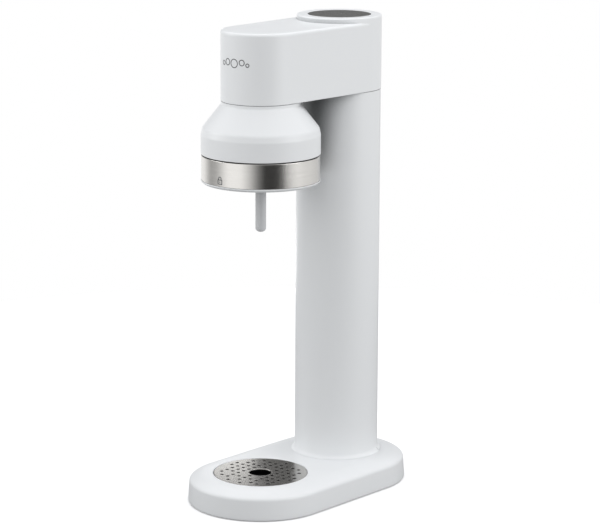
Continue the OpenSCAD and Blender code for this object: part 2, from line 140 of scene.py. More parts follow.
class Finish:
    """One material: a Principled shader, and node() for everything that feeds it."""

    def __init__(self, name, **fixed):
        self.material = bpy.data.materials.new(name)
        self.material.use_nodes = True
        self.tree = self.material.node_tree
        self.shader = self.tree.nodes["Principled BSDF"]
        for socket, value in fixed.items():
            self.shader.inputs[socket.replace("_", " ")].default_value = value

    def node(self, kind, settings=None, inputs=None, out=0):
        made = self.tree.nodes.new(kind)
        for key, value in (settings or {}).items():
            if key == "stops":
                ramp = made.color_ramp
                while len(ramp.elements) < len(value):
                    ramp.elements.new(0.5)
                for element, (at, shade) in zip(ramp.elements, value):
                    element.position = at
                    element.color = shade if len(shade) == 4 else (*shade, 1.0)
            else:
                setattr(made, key, value)
        for key, value in (inputs or {}).items():
            socket = made.inputs[key]
            if isinstance(value, Val):
                self.tree.links.new(value.socket, socket)
            else:
                socket.default_value = value
        return Val(self, made.outputs[out])

    def feed(self, **sockets):
        for name, value in sockets.items():
            self.tree.links.new(value.socket, self.shader.inputs[name.replace("_", " ")])

    def place(self, scale=(1.0, 1.0, 1.0), location=(0.0, 0.0, 0.0)):
        """Object coordinates, moved and stretched."""
        spot = self.node("ShaderNodeTexCoord", out=3)
        return self.node("ShaderNodeMapping", {}, {0: spot, 1: location, 3: scale})

    def noise(self, scale, detail=2.0, rough=0.5, at=None):
        at = at or self.place()
        return self.node("ShaderNodeTexNoise", {},
                         {"Vector": at, "Scale": scale, "Detail": detail, "Roughness": rough})

    def axes(self, location=(0.0, 0.0, 0.0)):
        spot = self.place(location=location)
        parts = self.node("ShaderNodeSeparateXYZ", {}, {0: spot})
        node = parts.socket.node
        return [Val(self, node.outputs[i]) for i in range(3)]

    def blend(self, factor, a, b):
        """Colour a where factor is 0 and b where it is 1."""
        return self.node("ShaderNodeMix", {"data_type": "RGBA"}, {0: factor, 6: a, 7: b}, out=2)

    def span(self, value, low, high, to_low=0.0, to_high=1.0):
        return self.node("ShaderNodeMapRange", {},
                         {0: value, 1: low, 2: high, 3: to_low, 4: to_high})

    def bump(self, height, depth, strength, below=None):
        inputs = {"Height": height, "Distance": depth, "Strength": strength}
        if below:
            inputs["Normal"] = below
        return self.node("ShaderNodeBump", {}, inputs)


def grey(level, warm=0.0):
    """A grey, warmer or cooler than neutral, as linear colour."""
    return (level * (1 + warm), level, level * (1 - warm), 1.0)


# ---------- finishes ----------


def white_plastic():
    """Satin white, with shade painted into its colour in the tight space between the head, bell and
    column.
    """
    f = Finish("white_plastic", IOR=1.5, Coat_Weight=0.0)
    cloud = f.noise(9.0, 3.0)
    tone = f.blend(cloud, (0.805, 0.825, 0.838, 1), (0.825, 0.84, 0.85, 1))
    # painted shade: where ambient occlusion finds other pieces close, above about 0.19 m, the base
    # colour turns near black
    open_sky = f.node("ShaderNodeAmbientOcclusion", {"samples": 8}, {"Distance": 0.09}, out=1)
    height = f.axes()[2]
    shade = (1 - f.span(open_sky, 0.12, 0.72)) * f.span(height, 0.19, 0.30)
    f.feed(Base_Color=f.blend(shade * 0.93, tone, (0.035, 0.039, 0.042, 1)))
    grain = f.noise(1500.0, 2.0, 0.6)
    broad = f.noise(60.0, 2.0)
    f.feed(Roughness=f.span(grain * 0.6 + broad * 0.4, 0.25, 0.75, 0.30, 0.42))
    f.feed(Normal=f.bump(grain, 0.00003, 0.35, f.bump(broad, 0.0006, 0.04)))
    return f.material


def plain_plastic(name, dark, light, rough, depth=0.00006):
    """A moulded plastic with a fine eroded grain."""
    f = Finish(name, IOR=1.48)
    cloud = f.noise(25.0, 3.0)
    f.feed(Base_Color=f.blend(cloud, dark, light))
    grain = f.noise(900.0, 3.0, 0.65)
    f.feed(Roughness=f.span(grain, 0.3, 0.7, rough - 0.06, rough + 0.07))
    f.feed(Normal=f.bump(grain, depth, 0.5))
    return f.material


def brushed_metal(name, stretch, dark, light, rough):
    """Sheet metal brushed one way: stretch is how fast the grain changes along X, Y and Z."""
    f = Finish(name, Metallic=1.0)
    lines = f.noise(1.0, 3.0, 0.7, f.place(stretch))
    faint = f.noise(1.0, 2.0, 0.6, f.place([s * 3.1 for s in stretch]))
    mix = lines * 0.6 + faint * 0.4
    f.feed(Base_Color=f.blend(f.span(mix, 0.3, 0.7), dark, light))
    f.feed(Roughness=f.span(mix, 0.25, 0.75, rough - 0.05, rough + 0.07))
    f.feed(Normal=f.bump(mix, 0.00002, 0.4))
    return f.material


def turned_metal(name, dark, light, rough, rings):
    """Metal turned about the gas bottle's axis: fine rings round it."""
    f = Finish(name, Metallic=1.0)
    x, y, z = f.axes((0.0, -COLUMN_Y * MM, 0.0))
    radius = (x * x + y * y).root()
    path = f.node("ShaderNodeCombineXYZ", {}, {0: radius * rings, 1: x * 12.0, 2: z * rings})
    lines = f.noise(1.0, 2.0, 0.6, path)
    cloud = f.noise(40.0, 3.0)
    f.feed(Base_Color=f.blend(lines * 0.6 + cloud * 0.4, dark, light))
    f.feed(Roughness=f.span(lines * 0.5 + cloud * 0.5, 0.3, 0.7, rough - 0.05, rough + 0.08))
    f.feed(Normal=f.bump(lines, 0.000015, 0.35))
    return f.material


def zinc_sheet():
    f = Finish("zinc_sheet", Metallic=1.0)
    flake = f.node("ShaderNodeTexVoronoi", {"feature": "F1"},
                   {"Vector": f.place(), "Scale": 160.0, "Randomness": 1.0}, out=1)
    tone = f.node("ShaderNodeSeparateColor", {}, {0: flake})
    f.feed(Base_Color=f.blend(tone, (0.42, 0.43, 0.44, 1), (0.6, 0.61, 0.62, 1)))
    f.feed(Roughness=f.span(tone, 0.0, 1.0, 0.38, 0.55))
    f.feed(Normal=f.bump(f.noise(500.0, 3.0), 0.00003, 0.4))
    return f.material


def rubber(name):
    f = Finish(name, IOR=1.45, Specular_IOR_Level=0.35)
    fine = f.noise(1400.0, 3.0, 0.7)
    cloud = f.noise(45.0, 3.0)
    f.feed(Base_Color=f.blend(cloud, (0.016, 0.016, 0.018, 1), (0.03, 0.03, 0.033, 1)))
    f.feed(Roughness=f.span(fine, 0.3, 0.7, 0.55, 0.75))
    f.feed(Normal=f.bump(fine, 0.00006, 0.6))
    return f.material


def braided_hose():
    f = Finish("braided_hose", IOR=1.45)
    x, y, z = f.axes((0.0, -BELL_Y * MM, 0.0))
    one = f.node("ShaderNodeMath", {"operation": "SINE"}, {0: (z + y + x) * 5200.0})
    two = f.node("ShaderNodeMath", {"operation": "SINE"}, {0: (z + y - x) * 5200.0})
    weave = one * two
    f.feed(Base_Color=f.blend(f.span(weave, -0.4, 0.6), (0.02, 0.02, 0.022, 1),
                              (0.07, 0.07, 0.075, 1)))
    f.feed(Roughness=f.span(weave, -1.0, 1.0, 0.62, 0.45))
    f.feed(Normal=f.bump(weave, 0.0001, 0.6))
    return f.material


def printed_grey():
    f = Finish("printed_grey", IOR=1.5)
    speck = f.noise(2600.0, 2.0)
    f.feed(Base_Color=f.blend(speck, (0.09, 0.095, 0.10, 1), (0.13, 0.135, 0.14, 1)))
    f.feed(Roughness=f.span(speck, 0.3, 0.7, 0.42, 0.52))
    return f.material


def floor_finish():
    """A pale floor that throws little light back up at the object."""
    f = Finish("studio_floor", IOR=1.3, Specular_IOR_Level=0.05, Emission_Strength=0.2)
    cloud = f.noise(1.5, 2.0)
    pale = f.blend(cloud, (0.92, 0.925, 0.93, 1), (0.94, 0.945, 0.95, 1))
    seen = f.node("ShaderNodeLightPath")
    f.feed(Base_Color=f.blend(seen, (FLOOR_BOUNCE, FLOOR_BOUNCE, FLOOR_BOUNCE, 1), pale))
    f.feed(Emission_Color=f.blend(seen, (0.0, 0.0, 0.0, 1), (1.0, 1.0, 1.0, 1)))
    f.feed(Roughness=f.span(cloud, 0.3, 0.7, 0.75, 0.85))
    return f.material


WHITE = white_plastic()
PALE = plain_plastic("pale_plastic", grey(0.55, -0.01), grey(0.62, -0.01), 0.45)
NOZZLE = plain_plastic("nozzle_plastic", grey(0.62, -0.02), grey(0.68, -0.02), 0.3, 0.00003)
BLACK = plain_plastic("black_plastic", grey(0.008), grey(0.013), 0.45)
NYLON = plain_plastic("glass_filled_nylon", grey(0.03), grey(0.05), 0.5)
RUBBER = rubber("foot_rubber")
SEAL = rubber("seal_rubber")
HOSE = braided_hose()
PRINT = printed_grey()
STEEL_BAND = brushed_metal("brushed_band", (25, 25, 4200), (0.66, 0.645, 0.62, 1),
                           (0.78, 0.765, 0.74, 1), 0.2)
STEEL_DISC = brushed_metal("brushed_disc", (3600, 30, 30), (0.42, 0.41, 0.39, 1),
                           (0.56, 0.545, 0.52, 1), 0.20)
# painted shade: a near-black steel for the drip holes' walls, standing in for the shade inside the
# holes
HOLE_SHADE_STEEL = brushed_metal("painted_hole_shade", (900, 900, 900), (0.035, 0.034, 0.032, 1),
                          (0.06, 0.058, 0.055, 1), 0.45)
STEEL_BUTTON = brushed_metal("brushed_button", (3600, 30, 30), (0.26, 0.258, 0.254, 1),
                             (0.34, 0.337, 0.33, 1), 0.28)
SCREW = brushed_metal("zinc_plate", (900, 900, 900), (0.45, 0.45, 0.46, 1),
                      (0.66, 0.66, 0.67, 1), 0.32)
WIRE = brushed_metal("spring_wire", (700, 700, 700), (0.34, 0.34, 0.35, 1),
                     (0.5, 0.5, 0.52, 1), 0.28)
ZINC = zinc_sheet()
BRASS = turned_metal("turned_brass", (0.50, 0.35, 0.12, 1), (0.70, 0.52, 0.22, 1), 0.28, 2600)
ALLOY = turned_metal("bottle_alloy", (0.50, 0.51, 0.52, 1), (0.62, 0.63, 0.64, 1), 0.36, 900)
FLOOR = floor_finish()


# ---------- mesh kit ----------


def put(name, data):
    """An object in the scene, at the origin."""
    made = bpy.data.objects.new(name, data)
    bpy.context.scene.collection.objects.link(made)
    return made


def plain_mesh(holder):
    """What an object's modifier makes of it, as a plain mesh; the object is removed."""
    bpy.context.view_layer.update()
    seen = holder.evaluated_get(bpy.context.evaluated_depsgraph_get())
    mesh = bpy.data.meshes.new_from_object(seen)
    bpy.data.objects.remove(holder)
    return mesh


def on(centre, radius, angle):
    """A point on a circle whose middle lies at y = centre."""
    return (radius * math.cos(angle), centre + radius * math.sin(angle))


def soften(points, steps):
    """A closed section with rounded corners: each point is (x, z) or (x, z, radius). A short
    straight run is kept at both ends of a rounding, so that flats stay flat."""
    hold = 0.12
    out = []
    count = len(points)
    for i, point in enumerate(points):
        here = Vector(point[:2])
        radius = point[2] if len(point) > 2 else 0.0
        before = Vector(points[i - 1][:2]) - here
        after = Vector(points[(i + 1) % count][:2]) - here
        if radius <= 0 or before.length < 1e-6 or after.length < 1e-6:
            out.append(tuple(here))
            continue
        half = before.angle(after) / 2
        if half > math.radians(88):
            out.append(tuple(here))
            continue
        reach = min(radius / math.tan(half), before.length * 0.48, after.length * 0.48)
        radius = reach * math.tan(half)
        start = here + before.normalized() * reach
        end = here + after.normalized() * reach
        middle = (before.normalized() + after.normalized()).normalized()
        centre = here + middle * (radius / math.sin(half))
        a = start - centre
        turn = a.angle_signed(end - centre)
        lead = min(hold, (before.length - reach) * 0.4)
        tail = min(hold, (after.length - reach) * 0.4)
        out.append(tuple(start + before.normalized() * lead))
        for k in range(steps + 1):
            c = math.cos(-turn * k / steps)
            s = math.sin(-turn * k / steps)
            out.append((centre.x + a.x * c - a.y * s, centre.y + a.x * s + a.y * c))
        out.append(tuple(end + after.normalized() * tail))
    return out


class Shape:
    """Rings of points and the faces between them. Points that meet are merged by mesh()."""

    def __init__(self):
        self.points = []
        self.faces = []

    def ring(self, points):
        start = len(self.points)
        self.points.extend(tuple(p) for p in points)
        return list(range(start, len(self.points)))

    def join(self, one, two, closed=True):
        count = len(one)
        for i in range(count if closed else count - 1):
            j = (i + 1) % count
            self.faces.append((one[i], one[j], two[j], two[i]))

    def skin(self, rings):
        """Joins every ring to the next one."""
        for one, two in zip(rings, rings[1:]):
            self.join(one, two)

    def cap(self, ring):
        self.faces.append(tuple(ring))

    def plate(self, *rings, flat=None):
        """A face with holes: the first ring is its outline. Triangles are found in the plane, from
        the points' own x and y or from the outlines in flat."""
        flat = flat or [[self.points[i][:2] for i in r] for r in rings]
        index = [i for r in rings for i in r]
        for tri in tessellate_polygon([[Vector((x, y, 0)) for x, y in loop] for loop in flat]):
            self.faces.append(tuple(index[k] for k in tri))

    def block(self, foot, low, top, high):
        """A closed solid between two level outlines of (x, y)."""
        rings = [self.ring([(*p, z) for p in outline]) for outline, z in ((foot, low), (top, high))]
        self.skin(rings)
        self.cap(rings[0])
        self.cap(rings[1][::-1])

    def add(self, other):
        base = len(self.points)
        self.points.extend(other.points)
        self.faces.extend(tuple(i + base for i in f) for f in other.faces)

    def mesh(self, name):
        bm = bmesh.new()
        verts = [bm.verts.new([c * MM for c in p]) for p in self.points]
        for f in self.faces:
            loop = []
            for i in f:
                if verts[i] not in loop:
                    loop.append(verts[i])
            if len(loop) > 2:
                try:
                    bm.faces.new(loop)
                except ValueError:
                    pass
        bmesh.ops.remove_doubles(bm, verts=bm.verts, dist=2e-6)
        bmesh.ops.dissolve_degenerate(bm, edges=bm.edges, dist=1e-7)
        bmesh.ops.recalc_face_normals(bm, faces=bm.faces)
        data = bpy.data.meshes.new(name)
        bm.to_mesh(data)
        bm.free()
        return data


def settle(name, shape, material, body, node, sharp=35.0):
    """Makes the piece that stands for a CAD node, from a Shape or a mesh, and puts it on its
    body."""
    mesh = shape.mesh(name) if isinstance(shape, Shape) else shape
    mesh.materials.clear()
    mesh.materials.append(material)
    mesh.polygons.foreach_set("material_index", [0] * len(mesh.polygons))
    mesh.shade_smooth()
    mesh.set_sharp_from_angle(angle=math.radians(sharp))
    piece = put(name, mesh)
    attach(piece, body)
    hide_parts(node)
    return piece


def circle(radius, z, y, count, start=0.0, turn=FULL, x=0.0):
    """Points round a level circle, or along an arc from its first to its last point."""
    steps = count if turn == FULL else count - 1
    places = [on(y, radius, start + turn * i / steps) for i in range(count)]
    return [(x + across, along, z) for across, along in places]


def lathe(section, y, count, start=0.0, turn=FULL, x=0.0):
    """Turns a closed section of (radius, z) about a vertical axis, all round or part of it."""
    shape = Shape()
    whole = turn == FULL
    rings = [shape.ring(circle(r, z, y, count, start, turn, x)) for r, z in section]
    for i, ring in enumerate(rings):
        after = rings[(i + 1) % len(rings)]
        if section[i][0] < 1e-6 and section[(i + 1) % len(rings)][0] < 1e-6:
            continue
        shape.join(ring, after, whole)
    if not whole:
        shape.cap([r[0] for r in rings])
        shape.cap([r[-1] for r in rings])
    return shape


# ---------- foot ----------


def long_ring(inset, z, ends, sides):
    """The foot's outline, pulled in by inset: right side, back end, left side, front end."""
    r = BASE_R - inset
    half = [(r, -BASE_HALF + 2 * BASE_HALF * i / sides, z) for i in range(sides)]
    half += [(*on(BASE_HALF, r, math.pi * i / ends), z) for i in range(ends)]
    return half + [(-x, -y, z) for x, y, z in half]


def base_shell():
    ends, sides = 72, 16
    lead = BASE_R - WELL_R - 0.6
    level = 20.0
    fall = level - 3.2
    outer = [(lead, BASE_TOP), (level + 0.4, BASE_TOP)]
    for i in range(1, 14):
        d = fall * i / 13
        outer.append((level - d, BASE_TOP - 4.5 * (d / fall) ** 1.75))
    outer += [(2.35, 20.75), (1.75, 20.2), (1.35, 19.5), (1.12, 18.8), (1.0, 18.0), (0.97, 17.6),
              (0.2, 5.0), (0.03, 1.8), (0.06, 1.2), (0.16, 0.88), (0.36, 0.68), (0.6, 0.6),
              (2.6, 0.6), (3.3, 17.8), (4.4, 19.2), (8.5, 20.6), (12.6, 21.8),
              (BASE_R - WELL_R - 2.2, 23.2)]
    shape = Shape()
    rings = [shape.ring(long_ring(d, z, ends, sides)) for d, z in outer]
    shape.skin(rings)

    def flat(edge, z, radius):
        """The level part behind the well, with the column's hole in it."""
        well = shape.ring(circle(radius, z, BELL_Y, ends + 1, 0.0, math.pi))
        outline = edge[:2 * sides + ends + 1] + well[::-1][1:-1]
        hole = shape.ring(circle(COLUMN_IN, z, COLUMN_Y, 96))
        shape.plate(outline, hole)
        return hole

    top_hole = flat(rings[0], BASE_TOP, WELL_R + 0.6)
    low_hole = flat(rings[-1], 23.2, WELL_R + 2.2)
    shape.join(top_hole, low_hole)
    well = [(WELL_R + 0.6, BASE_TOP), (WELL_R + 0.3, BASE_TOP - 0.08),
            (WELL_R + 0.08, BASE_TOP - 0.3), (WELL_R, BASE_TOP - 0.6), (WELL_R, BASE_TOP - 0.8),
            (WELL_R, 7.2), (WELL_R - 0.3, 6.9), (0.0, 6.9), (0.0, 5.0),
            (WELL_R + 2.2, 5.0), (WELL_R + 2.2, 23.2)]
    shape.skin([shape.ring(circle(r, z, BELL_Y, 2 * ends)) for r, z in well])
    return settle("foot_shell", shape, WHITE, "stand", "base_shell")


# ---------- column ----------


def column_section(low, high):
    """The column's wall, with a fillet that runs out over the foot."""
    fillet = FOOT_FILLET
    section = [(COLUMN_IN, low), (FOOT_R + fillet * 0.74, low)]
    section += [(FOOT_R + fillet * (1 - math.cos(math.radians(a))),
                 low + fillet * (1 - math.sin(math.radians(a)))) for a in range(75, -1, -15)]
    section += [(FOOT_R - (FOOT_R - COLUMN_R) * k / 12, low + (high - low) * k / 12)
                for k in range(1, 12)]
    section += [(COLUMN_R, high, 0.3), (COLUMN_IN, high)]
    return soften(section, 4)


def column_shell():
    low = BASE_TOP + 0.1
    turn = math.radians(2 * COVER_ANGLE)
    shape = lathe(column_section(low, COLUMN_TOP), COLUMN_Y, 200, -math.pi / 2 - turn / 2, turn)
    return settle("column_front", shape, WHITE, "stand", "column_shell")


def rear_cover():
    low = BASE_TOP + 0.5
    turn = math.radians(2 * (180 - COVER_ANGLE - 0.5))
    shape = lathe(column_section(low, HEAD_Z - 0.4), COLUMN_Y, 120, math.pi / 2 - turn / 2, turn)
    # finger grip: a shallow scoop pressed into the outer face near the top
    grip_z, half_width, half_height, deep = 344.0, 15.0, 9.0, 1.3
    for i, (x, y, z) in enumerate(shape.points):
        y -= COLUMN_Y
        r = math.hypot(x, y)
        reach = (x / half_width) ** 2 + ((z - grip_z) / half_height) ** 2
        if r > COLUMN_IN + 1 and reach < 1:
            shrink = (r - deep * (1 - reach) ** 1.2) / r
            shape.points[i] = (x * shrink, COLUMN_Y + y * shrink, z)
    for s in (-1, 1):
        for z in (70, 190, 310):
            inner, outer, front, back = s * 29.5, s * 31.1, COLUMN_Y + 10, COLUMN_Y + 20.2
            tongue = [(inner, front), (outer, front), (outer, back), (inner, back)]
            shape.block(tongue, z, tongue, z + 14)
    return settle("back_cover", shape, WHITE, "back_cover", "rear_cover")


# ---------- head ----------


def head_shell():
    """The head's outline is two circles and their tangents. At the back its wall runs on up into
    the collar round the button, and the rounding of the top edge dies out against the collar."""
    tilt = math.asin((HEAD_R2 - HEAD_R) / (COLUMN_Y - BELL_Y))
    rim = 2.6
    crown = 1.5
    rise = TOTAL_H - crown
    fade = math.acos(1 - rim / HEAD_R2)
    arc, side, zone, back = 32, 14, 14, 36

    def half(mirrored):
        out = []
        for i in range(arc + 1):
            a = -math.pi / 2 + (math.pi / 2 - tilt) * i / arc
            out.append((on(BELL_Y, HEAD_R, a), (math.cos(a), math.sin(a)), rim, None))
        normal = (math.cos(-tilt), math.sin(-tilt))
        start = Vector(on(BELL_Y, HEAD_R, -tilt))
        end = Vector(on(COLUMN_Y, HEAD_R2, -tilt))
        run = (end - start).length - HEAD_R2 * math.sin(fade)
        way = (end - start).normalized()
        for i in range(1, side + 1):
            p = start + way * (run * i / side)
            out.append((tuple(p), normal, rim, -tilt - fade if i == side else None))
        for i in range(1, zone + 1):
            b = fade * (1 - i / zone)
            p = end - way * (HEAD_R2 * math.sin(b))
            out.append((tuple(p), normal, HEAD_R2 * (1 - math.cos(b)), -tilt - b))
        for i in range(1, back + 1):
            a = -tilt + (math.pi / 2 + tilt) * i / back
            out.append((on(COLUMN_Y, HEAD_R2, a), (math.cos(a), math.sin(a)), 0.0, a))
        if not mirrored:
            return out
        return [((-p[0], p[1]), (-n[0], n[1]), e, None if a is None else math.pi - a)
                for p, n, e, a in out]

    # columns of the wall, anticlockwise from the front: (place, outward direction, how far the
    # top edge's rounding reaches in, angle round the collar or None)
    columns = half(False) + half(True)[::-1][1:-1]
    shape = Shape()

    def level(inset, z):
        """The whole outline, pulled in by inset."""
        return shape.ring([(p[0] - n[0] * inset, p[1] - n[1] * inset, z) for p, n, e, a in columns])

    def collar_ring(radius, z, angles):
        return shape.ring([(*on(COLUMN_Y, radius, a), z) for a in angles])

    steps = 8
    wall_h = HEAD_TOP - rim - HEAD_Z - 0.9
    levels = [level(inset, HEAD_Z + up) for inset, up in ((WALL, 0), (0.35, 0), (0.1, 0.1))]
    levels += [level(0, HEAD_Z + up) for up in (0.35, 0.7)]
    levels += [level(0, HEAD_Z + 0.7 + wall_h * k / steps) for k in range(1, steps + 1)]
    for k in range(steps + 1):
        row = []
        for p, n, e, a in columns:
            top = math.acos(max(0.0, 1 - e / rim)) * k / steps
            inset = rim * (1 - math.cos(top))
            row.append((p[0] - n[0] * inset, p[1] - n[1] * inset,
                        HEAD_TOP - rim + rim * math.sin(top)))
        levels.append(shape.ring(row))
    shape.skin(levels)
    edge = levels[-1]
    # collar, all round: the foot of its wall is the top of the head's wall or the level top
    marks = [i for i, c in enumerate(columns) if c[3] is not None]
    front_count = 72
    first, last = columns[marks[0]][3], columns[marks[-1]][3]
    sweep = FULL - (last - first)
    front = [last + sweep * i / front_count for i in range(1, front_count)]
    foot_front = collar_ring(HEAD_R2, HEAD_TOP, front)
    foot = [edge[i] for i in marks] + foot_front
    angles = [columns[i][3] for i in marks] + front
    collar = [(HEAD_R2, HEAD_TOP + 0.12), (HEAD_R2, rise - 0.15), (HEAD_R2, rise)]
    collar += [(HEAD_R2 - crown * (1 - math.cos(math.pi / 2 * k / 7)),
                rise + crown * math.sin(math.pi / 2 * k / 7)) for k in range(1, 8)]
    hole = BUTTON_R + 0.35
    collar += [(HEAD_R2 - crown - 0.15, TOTAL_H), (hole + 0.6, TOTAL_H),
               (hole + 0.42, TOTAL_H - 0.01), (hole + 0.13, TOTAL_H - 0.12),
               (hole + 0.01, TOTAL_H - 0.36), (hole, TOTAL_H - 0.5), (hole, TOTAL_H - WALL)]
    collar_rings = [foot] + [collar_ring(r, z, angles) for r, z in collar]
    shape.skin(collar_rings)
    # the level top, between the rounded edge and the collar's front
    shape.plate(edge[marks[-1]:] + edge[:marks[0] + 1] + foot_front[::-1])
    # inside: wall, ceiling, and the collar's own inner wall
    under = HEAD_TOP - WALL
    inner = level(WALL, under)
    shape.join(levels[0], inner)
    back_run = [i for i, c in enumerate(columns) if c[3] is not None and c[2] == 0.0]
    spread = columns[back_run[0]][3], columns[back_run[-1]][3]
    gap = FULL - (spread[1] - spread[0])
    loose = [spread[1] + gap * i / 96 for i in range(1, 96)]
    ring_in = collar_ring(HEAD_R2 - WALL, under, loose)
    ceiling = inner[back_run[-1]:] + inner[:back_run[0] + 1]
    shape.plate(ceiling + ring_in[::-1])
    inside_foot = [inner[i] for i in back_run] + ring_in
    inside_angles = [columns[i][3] for i in back_run] + loose
    top_ring = collar_ring(HEAD_R2 - WALL, TOTAL_H - WALL, inside_angles)
    shape.join(inside_foot, top_ring)
    shape.plate(top_ring, collar_rings[-1])
    return settle("head_cover", shape, WHITE, "stand", "head_shell")


def copy_of(node, material, body, bevel):
    """A merged copy of a CAD node with its edges broken, for pieces that stay as designed."""
    bm = bmesh.new()
    bm.from_mesh(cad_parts[node].data)
    bmesh.ops.remove_doubles(bm, verts=bm.verts, dist=2e-6)
    bmesh.ops.dissolve_limit(bm, angle_limit=math.radians(0.5), verts=bm.verts, edges=bm.edges)
    mesh = bpy.data.meshes.new(node + "_piece")
    bm.to_mesh(mesh)
    bm.free()
    holder = put("holder", mesh)
    mod = holder.modifiers.new("edge", "BEVEL")
    mod.width = bevel * MM
    mod.segments = 2
    mod.limit_method = "ANGLE"
    mod.angle_limit = math.radians(35)
    mod.use_clamp_overlap = True
    return settle(node + "_piece", plain_mesh(holder), material, body, node, 30)


# ---------- bell, band and nozzle ----------


def bell():
    top = HEAD_Z - 0.3
    section = soften([(16, top), (HEAD_R - 0.15, top, 0.25), (HEAD_R - 0.15, 360.6, 2.0),
                      (BELL_R - 1.2, 339.6, 6.5), (BELL_R, 334.0, 6.0), (BELL_R, BELL_RIM, 0.35),
                      (BELL_R - 2.5, BELL_RIM), (BELL_R - 2.5, 335.4), (BELL_R - 3.9, 339),
                      (HEAD_R - 2, 358.6), (HEAD_R - 2, top - 2.1), (16, top - 2.1)], 8)
    shape = lathe(section, BELL_Y, 160)
    for x, y, z in around(BELL_Y, 26.5, 90, 3, 329.9):
        shape.add(lathe([(1.5, z), (3.8, z), (3.8, 361.8), (1.5, 361.8)], y, 24, x=x))
    return settle("bell_cover", shape, WHITE, "stand", "bell")


def band():
    section = soften([(BAND_R, BAND_Z, 0.25), (BAND_R, BAND_TOP, 0.35),
                      (BAND_R - 0.8, BAND_TOP, 0.2), (BAND_R - 0.8, BAND_Z, 0.2)], 4)
    shape = lathe(section, BELL_Y, 180)
    return settle("steel_band", shape, STEEL_BAND, "lock_ring", "steel_ring_band")


def carrier():
    """The turning ring under the steel band: lip, wall, ledge and the cam plate with its slots."""
    r = BAND_R - 0.85
    section = soften([(46.5, LIP_Z, 0.5), (BAND_R - 1.5, LIP_Z, 1.6),
                      (BAND_R + 0.3, BAND_Z - 1.2, 1.2), (BAND_R + 0.3, BAND_Z - 0.1, 0.3),
                      (r, BAND_Z - 0.1), (r, 315.6), (48.8, 315.6), (48.8, 301.2),
                      (43.8, 301.2, 0.3), (43.8, 299.4, 0.3), (46.5, 299.4)], 5)
    shape = lathe(section, BELL_Y, 160)
    plate = Shape()
    outer = circle(48.9, 308, BELL_Y, 120)
    inner = circle(24.2, 308, BELL_Y, 96)
    slots = [cam_slot(a) for a in (-90, 30, 150)]
    levels = []
    for z in (308.0, 311.0):
        levels.append([plate.ring([(p[0], p[1], z) for p in loop])
                       for loop in [outer, inner] + slots])
        plate.plate(*levels[-1])
    for one, two in zip(*levels):
        plate.join(one, two)
    shape.add(plate)
    return settle("ring_body", shape, WHITE, "lock_ring", "ring_carrier")


def cam_slot(start):
    """One spiral slot: over the ring's turn its middle line moves out by the jaws' travel."""
    turn, travel, half_width = 60, 4.2, 2.25
    points = []
    for side, order in ((1, range(17)), (-1, range(16, -1, -1))):
        for i in order:
            a = math.radians(start - turn * i / 16)
            points.append((*on(BELL_Y, 30 + travel * i / 16 + side * half_width, a), 0))
        i = 16 if side > 0 else 0
        a = math.radians(start - turn * i / 16)
        middle = 30 + travel * i / 16
        for k in range(1, 8):
            b = math.pi * k / 8
            along = half_width * math.sin(b)
            out = middle + side * half_width * math.cos(b)
            x = out * math.cos(a) + side * along * math.sin(a)
            y = out * math.sin(a) - side * along * math.cos(a)
            points.append((x, BELL_Y + y, 0))
    return points


def nozzle():
    t, r = NOZZLE_TIP, NOZZLE_R
    section = [(0.8, t), (1.7, t)]
    for k in range(1, 9):
        a = math.pi / 2 * k / 8
        section.append((r - 3.6 * (1 - math.sin(a)), t + 3.4 * (1 - math.cos(a))))
    section += [(r, t + 3.8), (r, 300), (r, 342.2), (r - 0.3, 342.5), (2.0, 342.5),
                (2.0, t + 5), (0.8, t + 3.6)]
    shape = lathe(section, BELL_Y, 64)
    return settle("nozzle_tube", shape, NOZZLE, "stand", "carbonating_nozzle")


# ---------- button ----------


def button():
    t, r = TOTAL_H, BUTTON_R
    section = soften([(0, t), (r, t, 0.55), (r, t - 6), (r - 1, t - 6), (r - 1, t - 1.05),
                      (0, t - 1.05)], 6)
    plate = lathe(section, COLUMN_Y, 144).mesh("button_plate")
    # three shallow dots pressed into the face
    dots = Shape()
    for x, y, size in ((-3.2, -1, 1), (1, 1.6, 1.4), (4.2, -1.6, 0.8)):
        dots.add(lathe([(0, t - 0.25), (size - 0.25, t - 0.25), (size - 0.08, t - 0.16),
                        (size, t), (size, t + 1), (0, t + 1)], COLUMN_Y + y, 32, x=x))
    mesh = perforated(plate, [(0, 0, 0)], dots, STEEL_BUTTON)
    return settle("button_face", mesh, STEEL_BUTTON, "button", "button_cap")


# ---------- drip tray ----------


def cup():
    r = CUP_R
    top = GRID_Z - 0.05
    section = soften([(0, 7.3), (r - 1.5, 7.3), (r, 8.8, 0.8), (r, top, 0.3), (r - 2, top, 0.3),
                      (r - 2, 10.2, 1.0), (r - 3.4, 8.9, 1.0), (0, 8.9)], 4)
    shape = lathe(section, BELL_Y, 128)
    return settle("cup_body", shape, BLACK, "cup", "drip_cup")


# ---------- repeated pieces, by Geometry Nodes ----------


